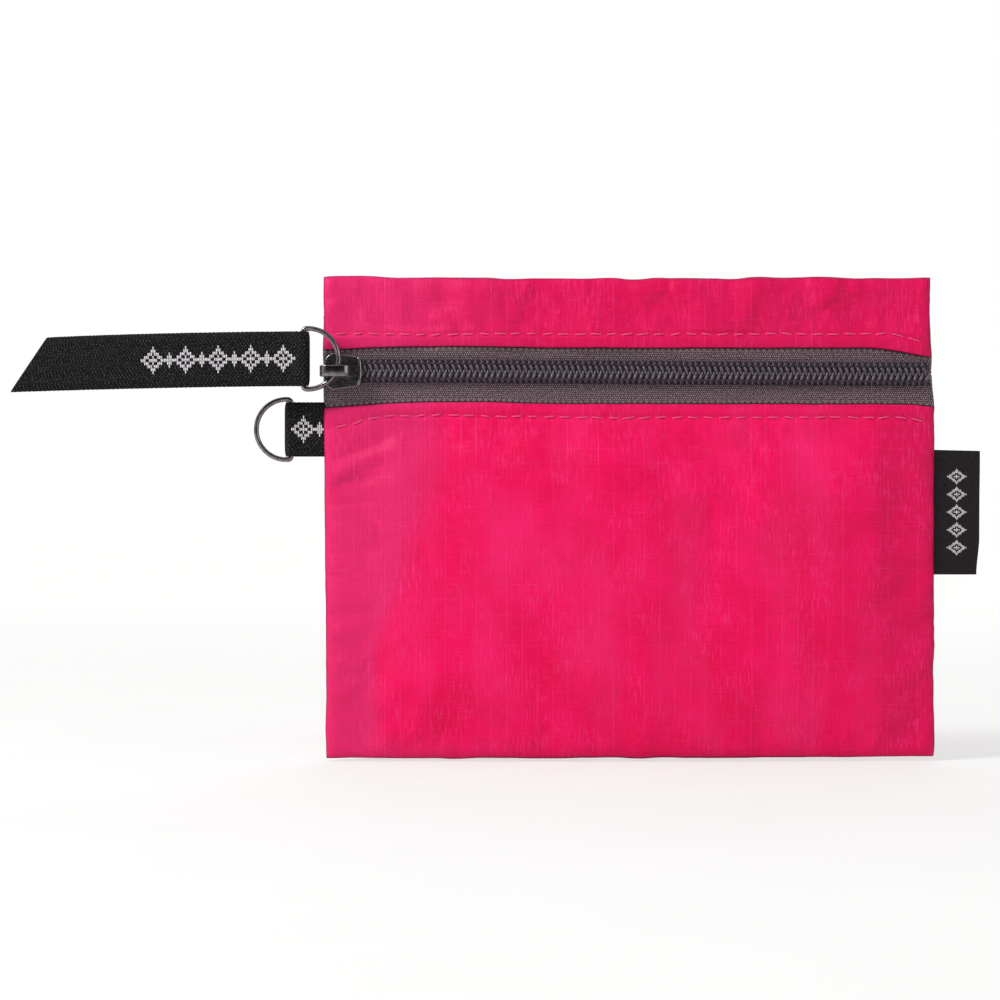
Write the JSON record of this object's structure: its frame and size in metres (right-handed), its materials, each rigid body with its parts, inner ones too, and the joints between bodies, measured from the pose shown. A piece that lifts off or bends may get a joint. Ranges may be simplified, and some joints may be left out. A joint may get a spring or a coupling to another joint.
{
  "type": "foldable tote bag",
  "caption": "Foldable tote bag packed flat in its own zip pouch, with a webbing pull tab, a side D-ring on a loop and a side label.",
  "frame": {"origin": "middle of the back panel's outer face", "axes": "+X along the zip from its closed end, +Y out of the flat back, +Z from the bottom edge to the top edge"},
  "size_m": [0.2064, 0.0086, 0.103],
  "materials": {
    "pouch_cloth": "ripstop nylon, low sheen",
    "stitch_thread": "polyester thread",
    "zip_tape": "woven polyester",
    "zip_coil": "satin nylon",
    "gunmetal": "black nickel plate",
    "webbing": "woven polyester",
    "label_satin": "woven satin",
    "tote_cloth": "ripstop nylon"
  },
  "bodies": {
    "pouch": {"back_panel": "pouch_cloth", "front_panel": "pouch_cloth", "top_band": "pouch_cloth", "zipper_tape_upper": "zip_tape", "zipper_tape_lower": "zip_tape", "zipper_coil_upper": "zip_coil", "zipper_coil_lower": "zip_coil", "coil_cord_upper": "zip_tape", "coil_cord_lower": "zip_tape", "coil_thread_upper": "zip_tape", "coil_thread_lower": "zip_tape", "topstitch_upper": "stitch_thread", "topstitch_lower": "stitch_thread", "tote_body": "tote_cloth", "tote_handle_front": "tote_cloth", "tote_handle_back": "tote_cloth"},
    "slider": {"slider_body": "gunmetal", "slider_crown": "gunmetal"},
    "pull_ring": {"pull_ring": "gunmetal"},
    "pull_tab": {"pull_tab": "webbing"},
    "side_loop": {"side_loop": "webbing"},
    "side_ring": {"side_ring": "gunmetal"},
    "side_label": {"side_label": "label_satin"}
  },
  "joints": [
    {"name": "slider_slide", "type": "slide", "parent": "pouch", "child": "slider", "axis": [1, 0, 0], "range_m": [0, 0.118], "deforming": ["zipper_coil_upper", "zipper_coil_lower", "coil_cord_upper", "coil_cord_lower", "coil_thread_upper", "coil_thread_lower"]},
    {"name": "pull_ring_swing", "type": "hinge", "parent": "slider", "child": "pull_ring", "pos_m": [-0.0625, -0.00655, 0.0311], "axis": [0, 0, 1], "range_deg": [0, 175]},
    {"name": "pull_tab_swing", "type": "hinge", "parent": "pull_ring", "child": "pull_tab", "pos_m": [-0.06925, -0.00655, 0.0337], "axis": [0, 0, -1], "range_deg": [-90, 90]},
    {"name": "side_loop_bend", "type": "hinge", "parent": "pouch", "child": "side_loop", "pos_m": [-0.06585, -0.0018, 0.0188], "axis": [0, 0, 1], "range_deg": [-60, 60]},
    {"name": "side_ring_swing", "type": "hinge", "parent": "side_loop", "child": "side_ring", "pos_m": [-0.0722, -0.0018, 0.0188], "axis": [0, 0, 1], "range_deg": [-90, 90]},
    {"name": "label_bend", "type": "hinge", "parent": "pouch", "child": "side_label", "pos_m": [0.06535, -0.0018, 0.0011], "axis": [0, 0, 1], "range_deg": [-75, 75]}
  ]
}
